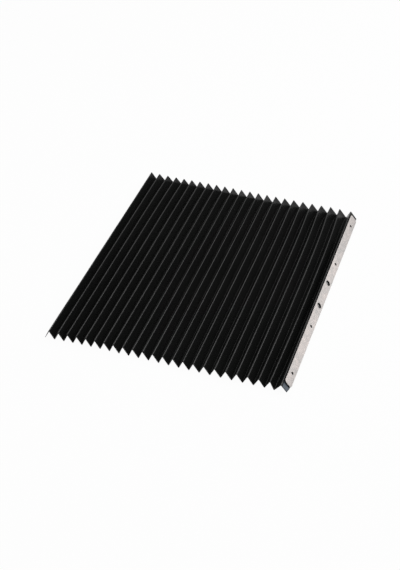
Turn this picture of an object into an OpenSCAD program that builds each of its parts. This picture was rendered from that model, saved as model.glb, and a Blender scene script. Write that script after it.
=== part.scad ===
// Bellows way cover: one coated sheet folded into straight pleats, with a flat bar riveted on one end flap.
// X is the way the cover stretches, Y runs along the folds, Z is up, and the pleats stand on z = 0.

/* [Bellows] */
// Number of pleats
pleat_count = 24; // [4:1:40]
// Mean distance from crest to crest, as stretched
pitch = 20; // [8:0.5:30]
// Gain in pitch from each pleat to the next, as the cover lies
pitch_gain = 0.13; // [-0.2:0.01:0.2]
// Flat width of one face between its two folds
face_w = 18; // [12:0.5:30]
// Width of the sheet, along the folds
sheet_w = 560; // [360:5:1000]
// Thickness of the coated sheet
sheet_t = 0.8; // [0.4:0.1:1.4]
// Radius of each fold, to the middle of the sheet
fold_r = 0.9; // [0.6:0.1:2]
// Flat steps in the bend of each fold
fold_steps = 6; // [3:1:10]
// How much wider than a face an end flap is
flap_extra = 0.8; // [0:0.1:6]

/* [End strip] */
// Width of the flat bar
strip_w = 20; // [12:0.5:30]
// Thickness of the flat bar
strip_t = 3; // [2:0.5:10]
// From the sheet's side edge to the end of the bar
strip_inset = 13; // [0:1:30]
// Radius of the bar's corners
strip_corner_r = 5; // [0.5:0.5:8]
// From the bend of the end crest to the edge of the bar
strip_drop = 0.6; // [0:0.1:2]
// How far the bar's lower edge stands past the edge of the sheet
strip_overhang = 0; // [0:0.1:2]
// Room between the sheet and what is riveted flat on it
seat_gap = 0.1; // [0.05:0.05:0.3]

/* [Bolt holes] */
// Diameter of the bolt holes
bolt_hole_d = 9; // [5:0.5:11]
// Distance between the two bolt holes
bolt_spacing = 72; // [30:1:180]
// Extra width of the bolt holes in the sheet, all round
sheet_hole_gap = 0.5; // [0.2:0.1:1]

/* [Rivets] */
// Diameter of the rivet shank
rivet_d = 3.2; // [2.4:0.1:4]
// Diameter of the countersunk head
rivet_head_d = 6; // [5:0.1:8]
// How far the head lies below the face of the bar
rivet_sink = 0.3; // [0.1:0.1:0.8]
// Diameter of the closed tail behind the sheet
rivet_tail_d = 6; // [4.5:0.1:8]
// Height of the closed tail
rivet_tail_h = 1; // [0.5:0.1:2]
// From the end of the bar to the outer rivets
rivet_end = 31; // [12:1:60]
// From the middle of the bar to the inner rivets
rivet_inner = 100; // [60:1:220]
// Room between a rivet and its hole, all round
rivet_gap = 0.05; // [0.02:0.01:0.1]

/* [Hidden] */
$fn = 48;

sheet_color = "#161718";
strip_color = "#cfc9c6";
rivet_color = "#3a3533";
cut = 1;

// Each face hinges about two equal fold arcs, so the distance between their centres never changes.
outer_r = fold_r + sheet_t / 2;
inner_r = fold_r - sheet_t / 2;
fold_span = norm([face_w, 2 * fold_r]);
valley_z = outer_r;
last = pleat_count - 1;

// Distance of pleat i from the middle one, half of its pitch, and the place of its crest's fold centre.
function from_middle(i) = i - last / 2;
function half_pitch(i) = (pitch + pitch_gain * from_middle(i)) / 2;
function crest_x(i) = pitch * from_middle(i) + pitch_gain / 2 * (pow(from_middle(i), 2) - pow(last / 2, 2));
function crest_rise(i) = sqrt(pow(fold_span, 2) - pow(half_pitch(i), 2));
function crest_z(i) = valley_z + crest_rise(i);
function face_slope(i) = atan2(crest_rise(i), half_pitch(i)) + asin(2 * fold_r / fold_span);

// The bar's seat, the rivets' grip below it, and places down the bar's flap and along the folds.
seat_r = outer_r + seat_gap;
grip = sheet_t + 2 * seat_gap;
strip_end = strip_drop + strip_w;
strip_mid = strip_drop + strip_w / 2;
strip_l = sheet_w - 2 * strip_inset;
bolt_places = [-bolt_spacing / 2, bolt_spacing / 2];
rivet_outer = strip_l / 2 - rivet_end;
rivet_places = [-rivet_outer, -rivet_inner, rivet_inner, rivet_outer];
head_h = (rivet_head_d - rivet_d) / 2;

// An end flap leans outwards from its crest until its lowest edge stands on the floor.
// That edge lies a distance down the flap, at radius r from the crest's fold centre.
function lean(i, down, r) = asin(min(1, crest_z(i) / norm([down, r]))) + atan2(r, down);
bare_flap_w = face_w + flap_extra;
bare_slope = lean(0, bare_flap_w, inner_r);
strip_flap_w = max(bare_flap_w, strip_end - strip_overhang);
strip_slope = min(lean(last, strip_flap_w, inner_r), lean(last, strip_end, seat_r));

// The cover is centred on X between the edge of the bare flap and the edge of the bar.
bare_reach = outer_r * sin(bare_slope) + bare_flap_w * cos(bare_slope);
strip_reach = max(
    (seat_r + strip_t) * sin(strip_slope) + strip_end * cos(strip_slope),
    outer_r * sin(strip_slope) + strip_flap_w * cos(strip_slope)
);
shift_x = (bare_reach - strip_reach) / 2;
function crest_center(i) = [crest_x(i) + shift_x, crest_z(i)];
function valley_center(i) = [crest_x(i) + half_pitch(i) + shift_x, valley_z];

// Slopes of the sheet on the two sides of crest i.
function slope_before(i) = i == 0 ? bare_slope : face_slope(i);
function slope_after(i) = i == last ? strip_slope : face_slope(i);

function arc(center, r, from, to) = [
    for (step = [0 : fold_steps])
        let (a = from + (to - from) * step / fold_steps)
        center + r * [cos(a), sin(a)]
];

// Edge of an end flap that leaves its crest's bend at radius r and runs down to the left (-1) or right (1).
function flap_edge(center, r, slope, width, way) =
    center + r * [way * sin(slope), cos(slope)] + width * [way * cos(slope), -sin(slope)];

// One side of the folded sheet, from flap to flap, at an offset above (or below) the middle of the sheet.
function sheet_side(offset) = concat(
    [flap_edge(crest_center(0), fold_r + offset, bare_slope, bare_flap_w, -1)],
    [
        for (i = [0 : last])
            each concat(
                arc(crest_center(i), fold_r + offset, 90 + slope_before(i), 90 - slope_after(i)),
                i == last ? [] : arc(
                    valley_center(i), fold_r - offset, 270 - slope_after(i), 270 + slope_before(i + 1)
                )
            )
    ],
    [flap_edge(crest_center(last), fold_r + offset, strip_slope, strip_flap_w, 1)]
);
function backwards(list) = [for (k = [len(list) - 1 : -1 : 0]) list[k]];

// Sets its children on the bar's seat: x runs down the flap, y along the folds, z outwards.
module on_flap() {
    start = crest_center(last) + seat_r * [sin(strip_slope), cos(strip_slope)];
    translate([start[0], 0, start[1]])
        rotate([0, strip_slope, 0])
            children();
}

// Sets a copy of its children at each place along the middle of the bar.
module along_strip(places) {
    for (y = places)
        translate([strip_mid, y, 0])
            children();
}

// A round hole through the sheet and the bar.
module hole(d) {
    translate([0, 0, -grip - cut])
        cylinder(d = d, h = grip + strip_t + 2 * cut);
}

module bellows_sheet() {
    color(sheet_color)
        difference() {
            rotate([90, 0, 0])
                linear_extrude(height = sheet_w, center = true)
                    polygon(concat(sheet_side(sheet_t / 2), backwards(sheet_side(-sheet_t / 2))));
            on_flap() {
                along_strip(bolt_places) hole(bolt_hole_d + 2 * sheet_hole_gap);
                along_strip(rivet_places) hole(rivet_d + 2 * rivet_gap);
            }
        }
}

// Outline of the bar: a long rectangle with round corners.
module bar_outline() {
    square([strip_w - 2 * strip_corner_r, strip_l], center = true);
    square([strip_w, strip_l - 2 * strip_corner_r], center = true);
    for (x = [-1, 1], y = [-1, 1])
        translate([x * (strip_w / 2 - strip_corner_r), y * (strip_l / 2 - strip_corner_r)])
            circle(r = strip_corner_r);
}

// The cone of a rivet's head, wider by room all round.
module head_cone(room) {
    translate([0, 0, strip_t - rivet_sink - head_h])
        cylinder(d1 = rivet_d + 2 * room, d2 = rivet_head_d + 2 * room, h = head_h);
}

// The seat of a rivet in the bar: its cone, and a straight mouth up to the face.
module rivet_seat() {
    head_cone(rivet_gap);
    translate([0, 0, strip_t - rivet_sink])
        cylinder(d = rivet_head_d + 2 * rivet_gap, h = rivet_sink + cut);
}

module end_strip() {
    color(strip_color)
        on_flap()
            difference() {
                translate([strip_mid, 0, 0])
                    linear_extrude(height = strip_t)
                        bar_outline();
                along_strip(bolt_places) hole(bolt_hole_d);
                along_strip(rivet_places) hole(rivet_d + 2 * rivet_gap);
                along_strip(rivet_places) rivet_seat();
            }
}

module rivet() {
    translate([0, 0, -grip])
        cylinder(d = rivet_d, h = grip + strip_t - rivet_sink);
    head_cone(0);
    translate([0, 0, -grip - rivet_tail_h])
        cylinder(d = rivet_tail_d, h = rivet_tail_h);
}

module end_rivets() {
    color(rivet_color)
        on_flap()
            along_strip(rivet_places) rivet();
}

bellows_sheet();
end_strip();
end_rivets();
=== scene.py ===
# %% [markdown]
# # A bellows way cover
#
# A way cover keeps chips and dust off the slides of a machine. This one is a black coated cloth
# that is folded into straight pleats, with a pale steel bar riveted to the flap at its moving end.
# The measured model is loaded first, as a frame that nothing here may move. Each piece is then
# modelled in its place, in metres: X is the way the cover stretches, Y runs along the folds, Z is up.

# %% Load the measured model
import math

import bmesh
import bpy
from mathutils import Matrix, Vector


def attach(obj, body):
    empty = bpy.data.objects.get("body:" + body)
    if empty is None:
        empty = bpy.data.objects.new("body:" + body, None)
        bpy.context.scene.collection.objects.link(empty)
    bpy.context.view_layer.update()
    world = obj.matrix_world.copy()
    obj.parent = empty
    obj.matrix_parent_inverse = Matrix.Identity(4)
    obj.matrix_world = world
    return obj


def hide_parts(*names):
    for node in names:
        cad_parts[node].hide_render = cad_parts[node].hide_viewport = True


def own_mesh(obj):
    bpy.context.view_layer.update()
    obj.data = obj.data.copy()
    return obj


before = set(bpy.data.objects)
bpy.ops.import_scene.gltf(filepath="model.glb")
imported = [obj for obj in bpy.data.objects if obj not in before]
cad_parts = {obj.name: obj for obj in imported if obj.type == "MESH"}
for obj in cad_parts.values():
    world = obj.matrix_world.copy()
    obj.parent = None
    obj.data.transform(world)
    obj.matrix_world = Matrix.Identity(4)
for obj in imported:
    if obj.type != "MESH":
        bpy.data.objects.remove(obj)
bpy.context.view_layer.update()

# %% [markdown]
# ## Sizes
#
# The cloth and the bar start from the same sizes as the measured model, so that they fit it. The few
# sizes that drive it are written once here, and every place is worked out from them. A fold is an arc
# of the cloth, so each pleat is drawn from the centres of its arcs.

# %% Sizes of the pleats and the bar
MM = 0.001
PLEATS = 24
LAST = PLEATS - 1
PITCH = 20 * MM
PITCH_GAIN = 0.13 * MM
FACE_W = 18 * MM
FOLD_R = 0.9 * MM
SHEET_W = 560 * MM
SHEET_T = 0.8 * MM
FLAP_EXTRA = 0.8 * MM
BAR_W, BAR_T, BAR_L = 20 * MM, 3 * MM, 534 * MM
BAR_DROP, SEAT_GAP = 0.6 * MM, 0.1 * MM
OUTER_R, INNER_R = FOLD_R + SHEET_T / 2, FOLD_R - SHEET_T / 2
SEAT_R = OUTER_R + SEAT_GAP
FOLD_SPAN = math.hypot(FACE_W, 2 * FOLD_R)
BAR_END = BAR_DROP + BAR_W
print("cloth", round(SHEET_W / MM), "mm wide, bar", [round(s / MM) for s in (BAR_W, BAR_T, BAR_L)], "mm")

# %% [markdown]
# A crest's height follows from its pitch, because its two faces keep their width. Each end flap leans
# outwards from its crest until its edge stands on the floor. The whole cover is then shifted along X,
# so that the edge of the bare flap and the edge of the bar are equally far from the middle.

# %% Places of the crests and the valleys
def half_pitch(i):
    return (PITCH + PITCH_GAIN * (i - LAST / 2)) / 2


def crest_rise(i):
    return math.sqrt(FOLD_SPAN**2 - half_pitch(i) ** 2)


def face_slope(i):
    return math.atan2(crest_rise(i), half_pitch(i)) + math.asin(2 * FOLD_R / FOLD_SPAN)


def lean(i, down, radius):
    """Slope of a flap on crest i whose edge, that far down and at that radius, stands on the floor."""
    return math.asin((OUTER_R + crest_rise(i)) / math.hypot(down, radius)) + math.atan2(radius, down)


BARE_FLAP_W = FACE_W + FLAP_EXTRA
BARE_SLOPE = lean(0, BARE_FLAP_W, INNER_R)
BAR_SLOPE = min(lean(LAST, BAR_END, INNER_R), lean(LAST, BAR_END, SEAT_R))
bare_reach = OUTER_R * math.sin(BARE_SLOPE) + BARE_FLAP_W * math.cos(BARE_SLOPE)
bar_reach = (SEAT_R + BAR_T) * math.sin(BAR_SLOPE) + BAR_END * math.cos(BAR_SLOPE)
SHIFT_X = (bare_reach - bar_reach) / 2


def crest_center(i):
    from_middle = i - LAST / 2
    x = PITCH * from_middle + PITCH_GAIN / 2 * (from_middle**2 - (LAST / 2) ** 2)
    return Vector((x + SHIFT_X, OUTER_R + crest_rise(i)))


def valley_center(i):
    return Vector((crest_center(i).x + half_pitch(i), OUTER_R))


print("flap slopes:", round(math.degrees(BARE_SLOPE), 2), round(math.degrees(BAR_SLOPE), 2))
print("first and last crest:", crest_center(0), crest_center(LAST))

# %% [markdown]
# ## The camera
#
# The photograph looks down at the cover from its near right corner. The camera is set first, so that
# every later look at the scene is already the photograph's own view. Its place and lens come from
# fitting the crest ends and the bar's holes to their pixels, in a picture of 400 by 570.

# %% Set the camera at the photograph's angle
PHOTO_W, PHOTO_H = 400, 570
FOCAL_PX = 1161.5
SENSOR_W = 36
LOOKING = Vector((-0.2455, 0.72292, -0.64584))
camera_data = bpy.data.cameras.new("photo_camera")
camera_data.sensor_width = SENSOR_W
camera_data.lens = FOCAL_PX * SENSOR_W / max(PHOTO_W, PHOTO_H)
camera = bpy.data.objects.new("photo_camera", camera_data)
bpy.context.scene.collection.objects.link(camera)
camera.location = (0.5675, -1.7422, 1.5201)
camera.rotation_euler = LOOKING.to_track_quat("-Z", "Y").to_euler()
bpy.context.scene.camera = camera
print("lens:", round(camera_data.lens, 2), "mm")

# %% [markdown]
# ## The folded cloth
#
# The real cloth starts flat and is creased along straight lines, so it is made that way here too: a
# flat grid has one column of edges for each crease, and each column is moved to its place on the folded
# cover. The creases are then bevelled into round bends, and Solidify gives the cloth its thickness.
# Extruding one fold after another would give the same shape, but a grid keeps the cloth's flat
# coordinates in its UV map, and the weave and the wear along the crests can follow them.

# %% Work out where each crease goes
def crease(center, reach, normal_before, normal_after):
    """Where two flat runs of the cloth would meet, each lying at a distance from the fold's centre."""
    (a, b), (c, d) = normal_before, normal_after
    det = a * d - b * c
    return center + Vector(((d - b) * reach / det, (a - c) * reach / det))


def rising(slope):
    return Vector((-math.sin(slope), math.cos(slope)))


def falling(slope):
    return Vector((math.sin(slope), math.cos(slope)))


def flap_edge(i, slope, width, way):
    across = Vector((way * math.sin(slope), math.cos(slope)))
    down = Vector((way * math.cos(slope), -math.sin(slope)))
    return crest_center(i) + across * FOLD_R + down * width


creases = [flap_edge(0, BARE_SLOPE, BARE_FLAP_W, -1)]
bend_offsets = []
bend_lengths = []
for i in range(PLEATS):
    before = BARE_SLOPE if i == 0 else face_slope(i)
    after = BAR_SLOPE if i == LAST else face_slope(i)
    creases.append(crease(crest_center(i), FOLD_R, rising(before), falling(after)))
    bend_offsets.append(FOLD_R * math.tan((before + after) / 2))
    bend_lengths.append(FOLD_R * (before + after))
    if i < LAST:
        climb = face_slope(i + 1)
        creases.append(crease(valley_center(i), -FOLD_R, falling(after), rising(climb)))
        bend_offsets.append(FOLD_R * math.tan((after + climb) / 2))
        bend_lengths.append(FOLD_R * (after + climb))
creases.append(flap_edge(LAST, BAR_SLOPE, BAR_END, 1))
print(len(creases), "lines across the cloth, from", creases[0], "to", creases[-1])

# %% [markdown]
# The flat length of the cloth is what its faces, its flaps and the arcs of its bends add up to. Half of
# the first bend is counted with the bare flap, and half of the last one with the bar's flap.

# %% Add up the flat cloth
BARE_FLAP_L = BARE_FLAP_W + bend_lengths[0] / 2
BAR_FLAP_L = BAR_END + bend_lengths[-1] / 2
PLEATS_L = 2 * LAST * FACE_W + sum(bend_lengths) - (bend_lengths[0] + bend_lengths[-1]) / 2
CLOTH_L = BARE_FLAP_L + PLEATS_L + BAR_FLAP_L
print("flat cloth:", round(CLOTH_L / MM, 1), "by", round(SHEET_W / MM, 1), "mm")

# %% [markdown]
# Three helpers first. Every operator acts on what is selected, so each step starts by clearing the
# selection and then chooses its own faces or edges in code.

# %% Helpers to start a piece and to choose parts of it
def start_fresh(piece=None):
    """Leaves nothing selected but the piece, if one is given, in object mode."""
    if bpy.context.object and bpy.context.object.mode != "OBJECT":
        bpy.ops.object.mode_set(mode="OBJECT")
    bpy.ops.object.select_all(action="DESELECT")
    if piece:
        piece.select_set(True)
        bpy.context.view_layer.objects.active = piece


def choose(kind, test):
    """Selects the edges or faces of the mesh in edit mode that pass a test; returns how many."""
    bpy.ops.mesh.select_mode(type={"edges": "EDGE", "faces": "FACE"}[kind])
    bpy.ops.mesh.select_all(action="DESELECT")
    mesh = bmesh.from_edit_mesh(bpy.context.object.data)
    chosen = [part for part in getattr(mesh, kind) if test(part)]
    for part in chosen:
        part.select_set(True)
    mesh.select_flush_mode()
    bmesh.update_edit_mesh(bpy.context.object.data)
    return len(chosen)


def apply_modifier(piece, name, kind, **settings):
    """Adds a modifier, sets it and applies it to the piece."""
    bpy.context.view_layer.objects.active = piece
    modifier = piece.modifiers.new(name, kind)
    for key, value in settings.items():
        setattr(modifier, key, value)
    bpy.ops.object.modifier_apply(modifier=name)


# %% [markdown]
# The grid is one unit long, so the place of a vertex along X tells which column it is in. Each column then
# moves to its crease, and the UV map goes on holding the flat coordinates.

# %% Fold the flat cloth
ROWS = 56
start_fresh()
bpy.ops.mesh.primitive_grid_add(x_subdivisions=len(creases) - 1, y_subdivisions=ROWS, size=1)
pleats = bpy.context.object
pleats.name = "pleats"
bpy.ops.object.mode_set(mode="EDIT")
bpy.ops.mesh.select_all(action="SELECT")
bpy.ops.transform.resize(value=(1, SHEET_W, 1))
cloth = bmesh.from_edit_mesh(pleats.data)
column_of = {v: round((v.co.x + 0.5) * (len(creases) - 1)) for v in cloth.verts}
for v, k in column_of.items():
    v.co.x, v.co.z = creases[k]
bmesh.update_edit_mesh(pleats.data)
print("folded cloth:", len(cloth.verts), "vertices in", len(creases), "columns")

# %% [markdown]
# Thick coated cloth doesn't fold to a knife edge: it bends round a small radius. A Bevel modifier could
# round all creases at once, but the angle of each crease differs a little, and so does the width that
# gives the same radius. So each crease is chosen by its place and bevelled by its own width.

# %% Round the creases into bends
BEND_STEPS = 6
NEAR_ENOUGH = 0.001 * MM


def lies_on(edge, place):
    """True where both ends of an edge lie on a line along Y."""
    return all(
        abs(v.co.x - place.x) < NEAR_ENOUGH and abs(v.co.z - place.y) < NEAR_ENOUGH for v in edge.verts
    )


for place, offset in zip(creases[1:-1], bend_offsets):
    choose("edges", lambda e: lies_on(e, place))
    bpy.ops.mesh.bevel(
        offset_type="OFFSET", offset=offset, segments=BEND_STEPS, profile=0.5, affect="EDGES"
    )
bpy.ops.object.mode_set(mode="OBJECT")
print("after the bends:", len(pleats.data.polygons), "faces")

# %% [markdown]
# A cover that was pulled open by hand doesn't lie quite evenly. The pleats at the fixed end run a little
# aslant, those in the middle sit a little to the left, and those beside the bar bow towards it. At the far
# edge the pleats fan out to the right near the fixed end and are drawn back to the left near the bar. At
# both edges most ends of the valleys are swept to the right. The two long edges were also cut a little out
# of square.
#
# Proportional editing could pull each place by eye. Smooth sums do it in one pass and can be read again
# later. They are built from a few soft curves of the place along the cover: u is 0 at the first crest and
# 1 at the last.

# %% Soft curves along the cover
FIRST_SEAM = crest_center(0).x
LAST_SEAM = crest_center(LAST).x
SPAN = LAST_SEAM - FIRST_SEAM


def hump(u, start, end):
    """A smooth rise and fall between two places."""
    share = min(max((u - start) / (end - start), 0), 1)
    return math.sin(math.pi * share) ** 2


def beside_bar(u):
    """Nearly 0 over most of the cover, with one rise and fall over the last few pleats."""
    return math.sin(math.pi * u**14)


def past_first_crest(u):
    """0 at the first crest, and 1 from about half a pleat further on."""
    return min(40 * u, 1)


def off_the_flaps(u):
    """About 1 over the pleats, and 0 at the two crests where the flaps begin."""
    return past_first_crest(u) * (1 - u**30)


print("pleats from x =", round(FIRST_SEAM / MM, 2), "to", round(LAST_SEAM / MM, 2), "mm")

# %% [markdown]
# Each named term is a shift in millimetres. It depends on u, on the place along the folds (v, -1 at the
# near edge and 1 at the far one) and on the height (0 at the floor and about 1 at a crest). No term moves
# the two crests where the flaps begin to the left or right, so the flaps still meet the pleats there.

# %% How far each place lies from its even place
def shift_across(u, v, height):
    """How far a place lies to the right of its even place."""
    far, near = max(v, 0), max(-v, 0)
    aslant = 2.0 * hump(u, 0, 0.62) * (v + 0.5 * (1 - v**2))
    crowded = -1.0 * hump(u, 0.42, 0.86) * (1 - 0.5 * v)
    bowed = 3.1 * beside_bar(u) * (1 - v**2)
    drawn_back = -6.2 * math.sin(math.pi * u**5) * far**4 * (1 - 0.8 * far**12)
    fanned = 2.3 * hump(u, 0, 0.24) * far**3
    leaning = -2.6 * beside_bar(u) ** 2 * far**12 * height
    sweep = 1.3 + 3.3 * u + 2 * hump(u, 0.55, 0.98)
    swept = sweep * off_the_flaps(u) * far**10 * (1 - height) ** 2
    spread_out = 1.8 - 1.8 * u**8 - 3.2 * hump(u, 0.93, 1)
    spread = spread_out * past_first_crest(u) * near**4 * (1 - height)
    return aslant + crowded + bowed + drawn_back + fanned + leaning + swept + spread


def shift_along(u, v, height):
    """How far the uneven cut moves a place along the folds, towards the far edge."""
    far, near = max(v, 0), max(-v, 0)
    near_cut = 1.5 * near * beside_bar(u) - 3.5 * near * max(1 - 4 * u, 0) ** 2
    far_cut = -far * (2 + 1.5 * hump(u, -0.1, 0.3)) * (1 - hump(u, 0.84, 1))
    valley_cut = (5.5 - 8.2 * u) * off_the_flaps(u) * far**6 * (1 - height)
    return near_cut + far_cut + valley_cut


print("the middle crest's far end lies", round(shift_across(0.5, 1, 1), 2), "mm to the right")

# %% [markdown]
# The sums are now applied to every vertex. The free near corner of the bar's flap, beyond the end of the
# bar, is cut off aslant, so it is drawn in towards its crest.

# %% Let the pleats lie a little unevenly
CORNER_TRIM = 0.17


def settled(point):
    """Where a point of the evenly folded cloth comes to lie."""
    u = min(max((point.x - FIRST_SEAM) / SPAN, 0), 1)
    v = 2 * point.y / SHEET_W
    height = point.z / crest_center(0).y
    return point + Vector((shift_across(u, v, height), shift_along(u, v, height), 0)) * MM


def trimmed(point):
    """Draws in the free near corner of the bar's flap, which is cut off aslant."""
    past_bar = min(max((-point.y - BAR_L / 2) / (SHEET_W / 2 - BAR_L / 2), 0), 1)
    crest = Vector((LAST_SEAM, point.y, crest_center(LAST).y))
    return crest + (point - crest) * (1 - CORNER_TRIM * past_bar)


bpy.ops.object.mode_set(mode="EDIT")
cloth = bmesh.from_edit_mesh(pleats.data)
farthest = 0.0
for v in cloth.verts:
    place = trimmed(settled(v.co)) if v.co.x > LAST_SEAM else settled(v.co)
    farthest = max(farthest, (place - v.co).length)
    v.co = place
bmesh.update_edit_mesh(pleats.data)
bpy.ops.object.mode_set(mode="OBJECT")
print("the cloth lies up to", round(farthest / MM, 2), "mm from its even place")

# %% [markdown]
# Cloth is never quite flat. Its faces get two more lines of vertices, and a very small displacement with
# a soft cloud pattern, a quarter of a millimetre at most, makes the light break along them as it does on
# a real folded sheet. The displacement comes before the thickness, so both sides follow it.

# %% Give the faces a slight unevenness and the cloth its thickness
CLOUD_SIZE = 0.07
UNEVENNESS = 0.5 * MM
bpy.ops.object.mode_set(mode="EDIT")
choose("edges", lambda e: abs(e.verts[0].co.z - e.verts[1].co.z) > 0.4 * FACE_W)
bpy.ops.mesh.subdivide(number_cuts=2)
bpy.ops.object.mode_set(mode="OBJECT")
clouds = bpy.data.textures.new("cloth_unevenness", "CLOUDS")
clouds.noise_scale = CLOUD_SIZE
apply_modifier(
    pleats, "uneven", "DISPLACE", texture=clouds, texture_coords="LOCAL", strength=UNEVENNESS, mid_level=0.5
)
pleats.data.materials.append(bpy.data.materials.new("coated_cloth"))
pleats.data.materials.append(bpy.data.materials.new("cut_edge"))
apply_modifier(
    pleats, "thickness", "SOLIDIFY", thickness=SHEET_T, offset=0, use_even_offset=True, material_offset_rim=1
)
print("cloth with thickness:", len(pleats.data.polygons), "faces")

# %% [markdown]
# The cover closes when its end bar is pushed in. The pleats then squeeze together, but the two end flaps
# keep their shape: one stays with the fixed end and the other travels with the bar. So the cloth is
# parted along its first and last crest. Each cut is made flat, so that it meets its other side in every
# pose, and closed again.

# %% Part the flaps from the pleats
def close_cut(piece, seam):
    """Flattens the open cut of a piece at a seam and fills it with one face."""
    start_fresh(piece)
    bpy.ops.object.mode_set(mode="EDIT")
    choose("edges", lambda e: e.is_boundary)
    bpy.ops.transform.resize(value=(0, 1, 1), center_override=(seam, 0, 0))
    bpy.ops.mesh.edge_face_add()
    bpy.ops.object.mode_set(mode="OBJECT")


def part_off(source, name, seam, beyond):
    """Moves the faces whose middle passes a test to a new piece, and closes both cuts at the seam."""
    start_fresh(source)
    bpy.ops.object.mode_set(mode="EDIT")
    choose("faces", lambda f: beyond(f.calc_center_median()))
    bpy.ops.mesh.separate(type="SELECTED")
    bpy.ops.object.mode_set(mode="OBJECT")
    new = next(o for o in bpy.context.selected_objects if o is not source)
    new.name = name
    close_cut(source, seam)
    close_cut(new, seam)
    return new


def open_edges(piece):
    mesh = bmesh.new()
    mesh.from_mesh(piece.data)
    count = sum(1 for e in mesh.edges if len(e.link_faces) != 2)
    mesh.free()
    return count


bare_flap = part_off(pleats, "bare_flap", FIRST_SEAM, lambda c: c.x < FIRST_SEAM)
bar_flap = part_off(pleats, "bar_flap", LAST_SEAM, lambda c: c.x > LAST_SEAM)
for piece in (bare_flap, pleats, bar_flap):
    print(piece.name, len(piece.data.polygons), "faces, open edges:", open_edges(piece))

# %% [markdown]
# ## The end bar
#
# A stock flat bar with softly rounded corners, two bolt holes and four countersunk seats for the rivets.
# It is modelled lying flat, where its sizes are easy to read, and then turned onto the slope of the flap.

# %% A helper that sets a piece on the flap
BAR_START = crest_center(LAST) + falling(BAR_SLOPE) * SEAT_R
BAR_MID = BAR_DROP + BAR_W / 2
DOWN_FLAP = Vector((math.cos(BAR_SLOPE), -math.sin(BAR_SLOPE)))


def set_on_flap(piece, down=0.0, along=0.0):
    """Turns a piece modelled flat onto the flap that carries the bar, and applies its place."""
    start_fresh(piece)
    place = BAR_START + DOWN_FLAP * down
    piece.location = (place.x, along, place.y)
    piece.rotation_euler = (0, BAR_SLOPE, 0)
    bpy.ops.object.transform_apply(location=True, rotation=True, scale=True)


print("the bar's seat starts at", BAR_START)

# %% [markdown]
# A hole could be inset and bridged face by face. A Boolean is shorter and keeps the bar's flat faces
# whole, so each hole is cut by a round cutter that stands out a millimetre at its open ends.

# %% Cutters for the holes
ROUND = 40
PAST = 1 * MM


def round_cutter(radius, low, high, top_radius=None):
    """A straight or tapered round cutter along Z, from one height to another."""
    start_fresh()
    bpy.ops.mesh.primitive_cone_add(
        vertices=ROUND,
        radius1=radius,
        radius2=radius if top_radius is None else top_radius,
        depth=high - low,
        location=(0, 0, (high + low) / 2),
    )
    cutter = bpy.context.object
    bpy.ops.object.transform_apply(location=True, rotation=True, scale=True)
    return cutter


def cut(piece, cutter):
    """Takes a cutter out of a piece and deletes the cutter."""
    start_fresh(piece)
    apply_modifier(piece, "hole", "BOOLEAN", operation="DIFFERENCE", solver="EXACT", object=cutter)
    bpy.data.objects.remove(cutter, do_unlink=True)


def cut_bar(y, *cutter_size):
    """Cuts one round hole in the bar while it lies flat."""
    cutter = round_cutter(*cutter_size)
    cutter.data.transform(Matrix.Translation((BAR_MID, y, 0)))
    cut(end_bar, cutter)


print("cutters have", ROUND, "sides")

# %% [markdown]
# The bar starts as a block. The four short edges at its corners are rounded, then the bolt holes are cut,
# and a Bevel breaks every edge at once, as tumbling does. The rivet seats come last and stay sharp,
# because their shallow mouths would hold the bevel down everywhere.

# %% Model the bar
BAR_CORNER_R = 5 * MM
BROKEN_EDGE = 0.6 * MM
BOLT_HOLE_R, BOLT_Y = 4.5 * MM, 36 * MM
BOLT_YS = (-BOLT_Y, BOLT_Y)
start_fresh()
bpy.ops.mesh.primitive_cube_add(size=1, location=(BAR_MID, 0, BAR_T / 2), scale=(BAR_W, BAR_L, BAR_T))
end_bar = bpy.context.object
end_bar.name = "end_bar"
bpy.ops.object.transform_apply(location=True, rotation=True, scale=True)
bpy.ops.object.mode_set(mode="EDIT")
choose("edges", lambda e: abs(e.verts[0].co.z - e.verts[1].co.z) > BAR_T / 2)
bpy.ops.mesh.bevel(offset_type="OFFSET", offset=BAR_CORNER_R, segments=8, profile=0.5, affect="EDGES")
bpy.ops.object.mode_set(mode="OBJECT")
for y in BOLT_YS:
    cut_bar(y, BOLT_HOLE_R, -PAST, BAR_T + PAST)
apply_modifier(
    end_bar,
    "broken_edges",
    "BEVEL",
    width=BROKEN_EDGE,
    segments=3,
    limit_method="ANGLE",
    angle_limit=math.radians(40),
)
print("bar with its bolt holes:", len(end_bar.data.polygons), "faces, open edges:", open_edges(end_bar))

# %% [markdown]
# A countersunk seat is a straight hole for the shank, a cone for the head and a short straight mouth
# above it, so three cutters make one seat. The mouth reaches a hair below the cone's rim, because two
# cuts that only touch would leave a skin between them.

# %% Cut the rivet seats
RIVET_YS = [-236 * MM, -100 * MM, 100 * MM, 236 * MM]
RIVET_R, RIVET_HEAD_R, RIVET_SINK = 1.6 * MM, 3 * MM, 0.3 * MM
HEAD_H = RIVET_HEAD_R - RIVET_R
HEAD_TOP = BAR_T - RIVET_SINK
ROOM = 0.05 * MM
HAIR = 0.01 * MM
for y in RIVET_YS:
    cut_bar(y, RIVET_R + ROOM, -PAST, HEAD_TOP)
    cut_bar(y, RIVET_R + ROOM, HEAD_TOP - HEAD_H, HEAD_TOP, RIVET_HEAD_R + ROOM)
    cut_bar(y, RIVET_HEAD_R + ROOM, HEAD_TOP - HAIR, BAR_T + PAST)
print("rivet heads end", round(HEAD_TOP / MM, 2), "mm above the bar's seat")
print("bar with its seats:", len(end_bar.data.polygons), "faces, open edges:", open_edges(end_bar))
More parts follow.
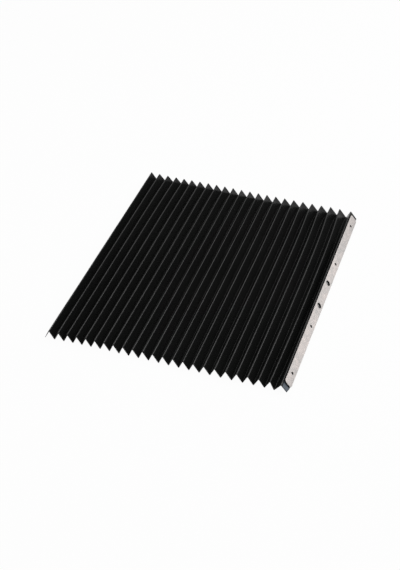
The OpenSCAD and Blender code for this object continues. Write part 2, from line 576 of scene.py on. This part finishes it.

# %% [markdown]
# The bar was cut from zinc-coated plate, and only its two broad faces are pale. Its sides and the walls of
# its holes get a second material, which paints them near black as shade. They are chosen by the way they
# face, which works while the bar still lies flat. After that the bar is turned onto its flap.

# %% Part the bar's pale face from its sides with painted shade and set it on its flap
start_fresh(end_bar)
bpy.ops.object.shade_smooth_by_angle(angle=math.radians(15))
end_bar.data.materials.append(bpy.data.materials.new("zinc_face"))
end_bar.data.materials.append(bpy.data.materials.new("bar_sides_painted_shade"))
bpy.ops.object.mode_set(mode="EDIT")


def is_cut(face):
    """True on the bar's sides, the walls of its holes and the broken edges round the holes."""
    by_hole = abs(face.calc_center_median().x - BAR_MID) < BOLT_HOLE_R + 1 * MM
    return abs(face.normal.z) < (0.95 if by_hole else 0.5)


# The faces chosen here get the near-black second material: painted shade.
side_count = choose("faces", is_cut)
end_bar.active_material_index = 1
bpy.ops.object.material_slot_assign()
set_on_flap(end_bar)
print("end bar:", side_count, "of", len(end_bar.data.polygons), "faces are sides")

# %% [markdown]
# The flap has the same holes as the bar. The bolt holes in the cloth are punched half a millimetre wider
# all round, so that the cloth doesn't catch the bolts.

# %% Cut the bolt holes and the rivet holes through the flap
GRIP = SHEET_T + 2 * SEAT_GAP
SHEET_HOLE_R = BOLT_HOLE_R + 0.5 * MM
flap_holes = [(y, SHEET_HOLE_R) for y in BOLT_YS] + [(y, RIVET_R + ROOM) for y in RIVET_YS]
for y, radius in flap_holes:
    cutter = round_cutter(radius, -GRIP - PAST, PAST)
    set_on_flap(cutter, down=BAR_MID, along=y)
    cut(bar_flap, cutter)
print("flap with its holes:", len(bar_flap.data.polygons), "faces, open edges:", open_edges(bar_flap))

# %% [markdown]
# ## The rivets
#
# Each rivet has a countersunk head that lies a little below the face of the bar, with the small dimple of
# the tool that closed it, a shank through bar and cloth, and a flat tail behind. Spin could turn an
# outline round the axis. Here a disc is extruded upwards ring by ring instead, which keeps every radius
# and height in one short list. One rivet is modelled, and the others are copies of it.

# %% Model one rivet
TAIL_R, TAIL_H, TAIL_ROUND = 3 * MM, 1 * MM, 0.25 * MM
DIMPLE_R, DIMPLE_DEPTH = 0.9 * MM, 0.45 * MM
SMOOTH_BELOW = math.radians(35)
RIVET_RINGS = [
    (TAIL_R - TAIL_ROUND, -GRIP - TAIL_H),
    (TAIL_R, -GRIP - TAIL_H + TAIL_ROUND),
    (TAIL_R, -GRIP - 0.1 * MM),
    (TAIL_R - 0.1 * MM, -GRIP),
    (RIVET_R, -GRIP),
    (RIVET_R, HEAD_TOP - HEAD_H),
    (RIVET_HEAD_R, HEAD_TOP - 0.05 * MM),
    (RIVET_HEAD_R - 0.15 * MM, HEAD_TOP),
    (DIMPLE_R + 0.15 * MM, HEAD_TOP),
    (DIMPLE_R, HEAD_TOP - 0.1 * MM),
    (DIMPLE_R - 0.3 * MM, HEAD_TOP - DIMPLE_DEPTH),
]


def turned(name, rings, vertices=32):
    """A round piece drawn upwards from a disc, ring by ring: (radius, height) for each."""
    start_fresh()
    (radius, height), *others = rings
    bpy.ops.mesh.primitive_circle_add(
        vertices=vertices, radius=radius, fill_type="NGON", location=(0, 0, 0)
    )
    piece = bpy.context.object
    piece.name = name
    bpy.ops.object.mode_set(mode="EDIT")
    bpy.ops.mesh.select_all(action="SELECT")
    bpy.ops.transform.translate(value=(0, 0, height))
    for next_radius, next_height in others:
        rise = (0, 0, next_height - height)
        bpy.ops.mesh.extrude_region_move(TRANSFORM_OT_translate={"value": rise})
        bpy.ops.transform.resize(value=(next_radius / radius, next_radius / radius, 1))
        radius, height = next_radius, next_height
    bpy.ops.mesh.select_all(action="SELECT")
    bpy.ops.mesh.normals_make_consistent(inside=False)
    bpy.ops.object.mode_set(mode="OBJECT")
    bpy.ops.object.shade_smooth_by_angle(angle=SMOOTH_BELOW)
    return piece


first_rivet = turned("rivet_1", RIVET_RINGS)
print("one rivet:", len(first_rivet.data.polygons), "faces, open edges:", open_edges(first_rivet))

# %% [markdown]
# A linked copy would share its mesh, and then all rivets would lie where the last one was set. So each
# copy has a mesh of its own.

# %% Copy the rivet along the bar
rivets = [first_rivet]
for number in range(2, len(RIVET_YS) + 1):
    start_fresh(first_rivet)
    bpy.ops.object.duplicate(linked=False)
    bpy.context.object.name = f"rivet_{number}"
    rivets.append(bpy.context.object)
for rivet, y in zip(rivets, RIVET_YS):
    set_on_flap(rivet, down=BAR_MID, along=y)
print("rivets:", [rivet.name for rivet in rivets])

# %% [markdown]
# ## Finishes
#
# Shader maths reads best as ordinary sums, so a small class wraps a socket, and every sum on it adds the
# Math node that does it. Any other node comes from one method, which takes the node's type, its settings
# and its sockets.

# %% A socket that can be reckoned with
class Wire:
    """One output of a material's nodes. Sums with numbers or other wires add Math nodes."""

    def __init__(self, tree, socket=None):
        self.tree = tree
        self.socket = socket

    def node(self, kind, sockets=None, out=0, **settings):
        """Adds a node: its settings first, then the values or wires of its sockets."""
        made = self.tree.nodes.new("ShaderNode" + kind)
        for name, value in settings.items():
            setattr(made, name, value)
        for name, value in (sockets or {}).items():
            if isinstance(value, Wire):
                self.tree.links.new(value.socket, made.inputs[name])
            else:
                made.inputs[name].default_value = value
        return Wire(self.tree, made.outputs[out])

    def other(self, out):
        """Another output of the same node."""
        return Wire(self.tree, self.socket.node.outputs[out])

    def math(self, operation, *others):
        return self.node("Math", dict(enumerate((self, *others))), operation=operation)

    def flipped(self, operation, first):
        return self.node("Math", {0: first, 1: self}, operation=operation)

    def __add__(self, other):
        return self.math("ADD", other)

    def __radd__(self, other):
        return self.flipped("ADD", other)

    def __sub__(self, other):
        return self.math("SUBTRACT", other)

    def __rsub__(self, other):
        return self.flipped("SUBTRACT", other)

    def __mul__(self, other):
        return self.math("MULTIPLY", other)

    def __rmul__(self, other):
        return self.flipped("MULTIPLY", other)

    def __truediv__(self, other):
        return self.math("DIVIDE", other)

    def __rtruediv__(self, other):
        return self.flipped("DIVIDE", other)

    def step(self, low, high):
        """A smooth rise from 0 at low to 1 at high."""
        sockets = {"Value": self, "From Min": low, "From Max": high}
        return self.node("MapRange", sockets, interpolation_type="SMOOTHSTEP")

    def blend(self, color_a, color_b):
        """Colour a where this wire is 0 and colour b where it is 1."""
        # A Mix node has sockets of the same name for each kind of data: 6 and 7 are the two colours.
        return self.node("Mix", {0: self, 6: color_a, 7: color_b}, out=2, data_type="RGBA")


print("a wire takes + - * / and", [name for name in vars(Wire) if not name.startswith("_")])

# %% [markdown]
# A few helpers keep the finishes short. They give a material its surface shader, link a wire to it, and
# add the noise, the stretched noise and the relief that most finishes need.

# %% Helpers for the finishes
def finish_of(material):
    """Clears a material's nodes and gives back its wires and its surface shader."""
    material.use_nodes = True
    tree = material.node_tree
    tree.nodes.clear()
    output = tree.nodes.new("ShaderNodeOutputMaterial")
    shader = tree.nodes.new("ShaderNodeBsdfPrincipled")
    tree.links.new(shader.outputs["BSDF"], output.inputs["Surface"])
    return Wire(tree), shader


def feed(shader, name, wire):
    wire.tree.links.new(wire.socket, shader.inputs[name])


def place_in(nodes):
    """The place on a piece, in metres."""
    return nodes.node("TexCoord", out="Object")


def noise(place, scale, detail):
    return place.node("TexNoise", {"Vector": place, "Scale": scale, "Detail": detail})


def streaks_in(place, scales, detail):
    """Noise with its own scale along each axis, so that it is drawn out along the smallest one."""
    return noise(place.node("Mapping", {"Vector": place, "Scale": scales}), 1.0, detail)


def relief(height, strength, depth):
    return height.node("Bump", {"Height": height, "Strength": strength, "Distance": depth})


def gray(level):
    return (level, level, level, 1)


print("materials to finish:", [m.name for piece in (pleats, end_bar) for m in piece.data.materials])

# %% [markdown]
# ### Coated cloth
#
# The cloth is a polyester weave under a thick black coat, so it is nearly black with a satin sheen, and
# the threads show through only as a fine relief. Where it is folded over a crest the coat is stretched
# and rubbed, and turns grey; the grey is also a painted highlight along each crest. The flat coordinates
# in the UV map count the pleats along the cloth: a crest is half way through each one, so the distance
# from it needs no painting by hand.

# %% Crests rubbed grey, with a painted highlight
cloth_finish = bpy.data.materials["coated_cloth"]
nodes, cloth_shader = finish_of(cloth_finish)
place = place_in(nodes)
along = nodes.node("SeparateXYZ", {"Vector": nodes.node("UVMap")})
across = along.other("Y")
from_crest = ((along * PLEATS).math("FRACT") - 0.5).math("ABSOLUTE") * 2
crest = 1 - from_crest.step(0.03, 0.085)
mottle = noise(place, 60.0, 4.0)
streaks = streaks_in(place, (400.0, 12.0, 400.0), 3.0)
# The grey along the crests is rubbed coat and also a painted highlight.
rub_and_highlight = crest * (0.7 + 0.5 * (mottle * 0.5 + streaks * 0.5 - 0.2))
print("rubbed crests:", len(cloth_finish.node_tree.nodes), "nodes")

# %% [markdown]
# The black coat itself is a little cloudy, with specks of dust. The valley bottoms near the fixed end are
# painted a little lighter, which is painted light standing in for light that reaches deep into the folds.
# The bare corner of the flap at the near end of the bar has a pale blue-grey painted sheen, a painted
# reflection. A hot knife sealed the two long edges, so a narrow band along them is dull, and the painted
# sheen is weaker there and along the flap's hem.

# %% Black coat, specks, painted light in the valleys and a painted sheen on the flap
COAT_BLACK = (0.0042, 0.0045, 0.0044, 1)
COAT_CLOUDY = (0.0059, 0.0061, 0.0059, 1)
VALLEY_PAINTED_LIGHT = (0.0115, 0.0118, 0.0114, 1)
CREST_WEAR_AND_HIGHLIGHT = (0.012, 0.012, 0.0118, 1)
# Colour of the painted blue-grey sheen on the flap.
PAINTED_SHEEN = (0.165, 0.195, 0.230, 1)
SHEEN_END = -BAR_L / 2 + 2 * MM
SEALED_W = 2.4 * MM
HALF_PLEATS = 2 * PLEATS
place_x = nodes.node("SeparateXYZ", {"Vector": place})
place_y = place_x.other("Y")
cloud = noise(place, 9.0, 5.0)
specks = noise(place, 900.0, 2.0).step(0.55, 0.75)
coat = (cloud.step(0.3, 0.7) * 0.6 + specks * 0.4).blend(COAT_BLACK, COAT_CLOUDY)
# Painted light: the valley bottoms near the fixed end are made lighter, standing in for light deep in the
# folds.
valley_painted_light = from_crest.step(0.2, 0.85) * (1 - place_x.step(-0.02, 0.2))
coat_with_painted_light = rub_and_highlight.math("MINIMUM", 1.0).blend(valley_painted_light.blend(coat, VALLEY_PAINTED_LIGHT), CREST_WEAR_AND_HIGHLIGHT)
from_edge = across.math("MINIMUM", 1 - across) * SHEET_W
sealed = 1 - from_edge.step(SEALED_W / 2, SEALED_W)
hem = (along * HALF_PLEATS).step(HALF_PLEATS - 0.14, HALF_PLEATS - 0.04)
on_flap = place_x.step(LAST_SEAM + 1.5 * MM, LAST_SEAM + 4 * MM)
by_corner = 1 - place_y.step(SHEEN_END - 2 * MM, SHEEN_END + 2 * MM)
thinned = 1 - 0.5 * sealed.math("MAXIMUM", hem)
# Painted reflection: a pale blue-grey sheen on the flap's near corner, beyond the end of the bar.
painted_sheen = on_flap * by_corner * (0.8 + 0.4 * (mottle - 0.5)) * thinned
feed(cloth_shader, "Base Color", painted_sheen.math("MINIMUM", 1.0).blend(coat_with_painted_light, PAINTED_SHEEN))
print("with coat, dust and film:", len(cloth_finish.node_tree.nodes), "nodes")

# %% [markdown]
# The weave is two sets of waves in the flat coordinates, with half a wave for each thread. It is only a
# relief of about a tenth of a millimetre, because the coat nearly fills it. The sheen is duller where the
# coat is rubbed or sealed.

# %% Weave and sheen of the coat
THREAD = 0.9 * MM
warp = (along * (CLOTH_L / THREAD * math.pi)).math("SINE")
weft = (across * (SHEET_W / THREAD * math.pi)).math("SINE")
feed(cloth_shader, "Roughness", 0.17 + 0.10 * cloud + 0.08 * rub_and_highlight + 0.45 * sealed)
feed(cloth_shader, "Normal", relief(warp * weft * 0.5 + specks * 0.15, 0.12, 0.12 * MM))
cloth_shader.inputs["Specular IOR Level"].default_value = 0.3
print("coated cloth:", len(cloth_finish.node_tree.nodes), "nodes,", round(CLOTH_L / THREAD), "threads long")

# %% [markdown]
# The cut edge shows the cloth's core of dark threads between its two coats, so it is rougher than the
# faces. Solidify gave the rim its own material slot, so the edge needs no mask.

# %% Cut edge of the cloth
edge_finish = bpy.data.materials["cut_edge"]
nodes, shader = finish_of(edge_finish)
threads = noise(place_in(nodes), 1400.0, 2.0)
thread_color = threads.step(0.35, 0.65).blend((0.010, 0.010, 0.010, 1), (0.030, 0.029, 0.028, 1))
feed(shader, "Base Color", thread_color)
feed(shader, "Roughness", 0.7 + 0.25 * threads)
feed(shader, "Normal", relief(threads, 0.5, 0.1 * MM))
print("cut edge:", len(edge_finish.node_tree.nodes), "nodes")

# %% [markdown]
# ### Galvanised steel
#
# A hot zinc bath leaves a pale, slightly warm grey with faint patches of crystals, and the bar has fine
# drawing lines along it. Voronoi cells, bent by noise and softened by a second, larger noise, give the
# patches. Noise that is stretched along the bar gives the lines.

# %% Patches and drawing lines of the zinc
ZINC_COOL = (0.52, 0.505, 0.495, 1)
ZINC_WARM = (0.68, 0.62, 0.595, 1)
zinc_finish = bpy.data.materials["zinc_face"]
nodes, zinc_shader = finish_of(zinc_finish)
place = place_in(nodes)
bend = noise(place, 160.0, 2.0).other("Color")
# Sockets 4 and 5 of a Mix node take its two vectors.
bent_place = nodes.node("Mix", {0: 0.02, 4: place, 5: bend}, out=1, data_type="VECTOR")
crystal_color = nodes.node("TexVoronoi", {"Vector": bent_place, "Scale": 170.0}, out="Color")
crystals = nodes.node("SeparateColor", {"Color": crystal_color})
patches = noise(place, 24.0, 4.0).step(0.3, 0.7)
drawn_lines = streaks_in(place, (1500.0, 8.0, 1500.0), 3.0)
zinc = (patches * 0.5 + crystals * 0.5).blend(ZINC_COOL, ZINC_WARM)
feed(zinc_shader, "Roughness", 0.42 + 0.12 * crystals + 0.10 * drawn_lines)
feed(zinc_shader, "Normal", relief(drawn_lines, 0.15, 0.05 * MM))
zinc_shader.inputs["Metallic"].default_value = 0.9
print("zinc patches and lines:", len(zinc_finish.node_tree.nodes), "nodes")

# %% [markdown]
# The far end of the bar is painted a little darker than the rest, which is painted shade. Round the two
# bolt holes a narrow dark ring is painted, a painted shade that widens the dark of the holes. The ring is
# drawn by the distance from the middle of the nearer hole, measured along the bar and down its slope.

# %% Painted shade at the far end of the zinc and round its bolt holes
ZINC_SHADED = (0.33, 0.32, 0.315, 1)
HOLE_SHADE = (0.012, 0.011, 0.011, 1)
bolt_place = BAR_START + falling(BAR_SLOPE) * BAR_T + DOWN_FLAP * BAR_MID
place_x = nodes.node("SeparateXYZ", {"Vector": place})
place_y = place_x.other("Y")
beside_bolt = place_y.math("ABSOLUTE") - BOLT_Y
down_bolt = (place_x - bolt_place.x) / math.cos(BAR_SLOPE)
from_bolt = (beside_bolt * beside_bolt + down_bolt * down_bolt).math("SQRT")
# Painted shade: a narrow dark ring round each bolt hole widens the dark of the hole.
painted_hole_shade = 1 - from_bolt.step(BOLT_HOLE_R + 1.1 * MM, BOLT_HOLE_R + 1.9 * MM)
# Painted shade: the far end of the bar is made a little darker.
zinc_with_painted_shade = (place_y.step(0.05, 0.27) * 0.3).blend(zinc, ZINC_SHADED)
feed(zinc_shader, "Base Color", (painted_hole_shade * 0.97).blend(zinc_with_painted_shade, HOLE_SHADE))
print("zinc:", len(zinc_finish.node_tree.nodes), "nodes, bolt holes at x =", round(bolt_place.x / MM, 1))

# %% [markdown]
# The sides of the bar, its ends and the walls of its holes are coloured near black, which is painted shade,
# as they face away from the light. Fine marks run across them from the shears and the drill.

# %% Painted shade on the cut sides of the bar
side_finish = bpy.data.materials["bar_sides_painted_shade"]
nodes, shader = finish_of(side_finish)
place = place_in(nodes)
side_mottle = noise(place, 300.0, 5.0)
cut_marks = streaks_in(place, (60.0, 2500.0, 60.0), 2.0)
# Painted shade: the sides, ends and hole walls are coloured near black.
painted_side_shade = side_mottle.step(0.45, 0.75).blend((0.006, 0.006, 0.0065, 1), (0.022, 0.020, 0.019, 1))
feed(shader, "Base Color", painted_side_shade)
feed(shader, "Roughness", 0.5 + 0.2 * side_mottle)
feed(shader, "Normal", relief(cut_marks, 0.3, 0.05 * MM))
shader.inputs["Metallic"].default_value = 0.3
shader.inputs["Specular IOR Level"].default_value = 0.2
print("bar sides:", len(side_finish.node_tree.nodes), "nodes")

# %% [markdown]
# ### Dark rivets
#
# The rivets have a thin dark oxide that is worn a little brighter in patches. One noise drives colour,
# sheen and relief together, as wear does.

# %% Dark oxide on the rivets
oxide_finish = bpy.data.materials.new("rivet_oxide")
nodes, shader = finish_of(oxide_finish)
worn = noise(place_in(nodes), 700.0, 4.0).step(0.5, 0.75)
feed(shader, "Base Color", worn.blend((0.012, 0.0105, 0.010, 1), (0.050, 0.044, 0.041, 1)))
feed(shader, "Roughness", 0.55 - 0.15 * worn)
feed(shader, "Normal", relief(worn, 0.25, 0.05 * MM))
shader.inputs["Metallic"].default_value = 0.6
for rivet in rivets:
    rivet.data.materials.append(oxide_finish)
print("rivets:", len(oxide_finish.node_tree.nodes), "nodes")

# %% [markdown]
# ## What each piece rides on
#
# The pleats and the bare flap stay with the fixed end. The bar, its rivets and its flap travel with the
# slide.

# %% Tie the pieces to the moving model
for piece in (bare_flap, pleats, bar_flap):
    start_fresh(piece)
    bpy.ops.object.shade_smooth_by_angle(angle=SMOOTH_BELOW)
    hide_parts("bellows_sheet")
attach(bare_flap, "cover")
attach(pleats, "cover")
crest_center(0).y
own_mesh(pleats)
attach(bar_flap, "moving_end")
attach(end_bar, "moving_end")
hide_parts("end_strip")
for rivet in rivets:
    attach(rivet, "moving_end")
    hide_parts("end_rivets")

# %% [markdown]
# ## Floor and light
#
# The photograph has a plain white ground. The floor is pale, and to the camera and in reflections it is
# white, with a small share of its own matte surface that keeps the shadow. The light came from the right,
# so what the cloth mirrors of the floor grows dim to the left. The floor deep under the pleats, seen
# through the bolt holes, is dark.

# %% White floor that keeps the shadow
WHITE_SHARE = 0.96
FLOOR_SIZE, FLOOR_Z = 12, -0.4 * MM
start_fresh()
bpy.ops.mesh.primitive_plane_add(size=FLOOR_SIZE, location=(0, 0, FLOOR_Z))
floor = bpy.context.object
floor.name = "floor"
floor_finish = bpy.data.materials.new("white_floor")
floor_finish.use_nodes = True
floor_tree = floor_finish.node_tree
floor_tree.nodes.clear()
nodes = Wire(floor_tree)
seen = nodes.node("LightPath", out="Is Camera Ray")
mirrored = seen.other("Is Glossy Ray")
through = seen.other("Is Transmission Ray")
place_x = nodes.node("SeparateXYZ", {"Vector": place_in(nodes)})
from_middle = place_x.other("Y").math("ABSOLUTE")
lit = 0.05 + 0.95 * place_x.step(-0.04, 0.14)
open_sky = nodes.node("AmbientOcclusion", {"Distance": 0.15}, out="AO", samples=16)
# Painted shade: where ambient occlusion finds little open sky under the cover, the floor is made dark.
painted_shade_under_cover = (1 - from_middle.step(0.18, 0.22)) * (1 - open_sky.step(0.04, 0.16))
shown = seen.math("MAXIMUM", through).math("MAXIMUM", mirrored * lit) * (1 - 0.7 * painted_shade_under_cover)
pale = (mirrored * (1 - lit)).math("MAXIMUM", painted_shade_under_cover).blend(gray(0.9), gray(0.02))
matte = nodes.node("BsdfDiffuse", {"Color": pale})
white = nodes.node("Emission", {"Color": gray(1.0), "Strength": 1.0})
surface = nodes.node("MixShader", {0: shown * WHITE_SHARE, 1: matte, 2: white})
output = floor_tree.nodes.new("ShaderNodeOutputMaterial")
floor_tree.links.new(surface.socket, output.inputs["Surface"])
floor.data.materials.append(floor_finish)
print("floor at", round(floor.location.z / MM, 2), "mm")

# %% [markdown]
# The world is white to the camera and in reflections and dim as a light. What the cloth mirrors of it low
# above the ground is dimmer, as in a room with dark walls, and that keeps the black faces black.

# %% White world
DIM_LIGHT = 0.35
world = bpy.data.worlds.new("studio")
bpy.context.scene.world = world
world.use_nodes = True
world_tree = world.node_tree
world_tree.nodes.clear()
nodes = Wire(world_tree)
seen = nodes.node("LightPath", out="Is Camera Ray")
mirrored = seen.other("Is Glossy Ray")
through = seen.other("Is Transmission Ray")
shown = seen.math("MAXIMUM", mirrored).math("MAXIMUM", through)
heading = nodes.node("SeparateXYZ", {"Vector": nodes.node("TexCoord", out="Generated")})
low_sky = mirrored * (1 - heading.other("Z").step(-0.05, 0.45))
strength = (DIM_LIGHT + (1 - DIM_LIGHT) * shown) * (1 - 0.65 * low_sky)
sky = nodes.node("Background", {"Color": gray(1.0), "Strength": strength})
world_output = world_tree.nodes.new("ShaderNodeOutputWorld")
world_tree.links.new(sky.socket, world_output.inputs["Surface"])
print("world:", len(world_tree.nodes), "nodes")

# %% [markdown]
# A soft lamp stands behind the right end and lights the bar. Two weaker ones, from the near left and from
# above, keep the dark sides readable. Large square lamps are used, because small ones would draw hard
# bright lines along every crest.

# %% Soft lamps
def soft_lamp(name, place, aim, size, watts):
    """A square lamp that faces a point."""
    data = bpy.data.lights.new(name, "AREA")
    data.size = size
    data.energy = watts
    lamp = bpy.data.objects.new(name, data)
    bpy.context.scene.collection.objects.link(lamp)
    lamp.location = place
    lamp.rotation_euler = (Vector(aim) - Vector(place)).to_track_quat("-Z", "Y").to_euler()


soft_lamp("key", place=(1.6, 1.2, 1.5), aim=(0.1, 0, 0), size=1.2, watts=20)
soft_lamp("fill", place=(-1.2, -1.8, 2.2), aim=(0, 0, 0), size=1.6, watts=8)
soft_lamp("top", place=(0.3, 0.6, 2.6), aim=(0, 0, 0), size=1.6, watts=14)
bpy.context.scene.view_settings.view_transform = "Standard"

# %% [markdown]
# ## Finish
#
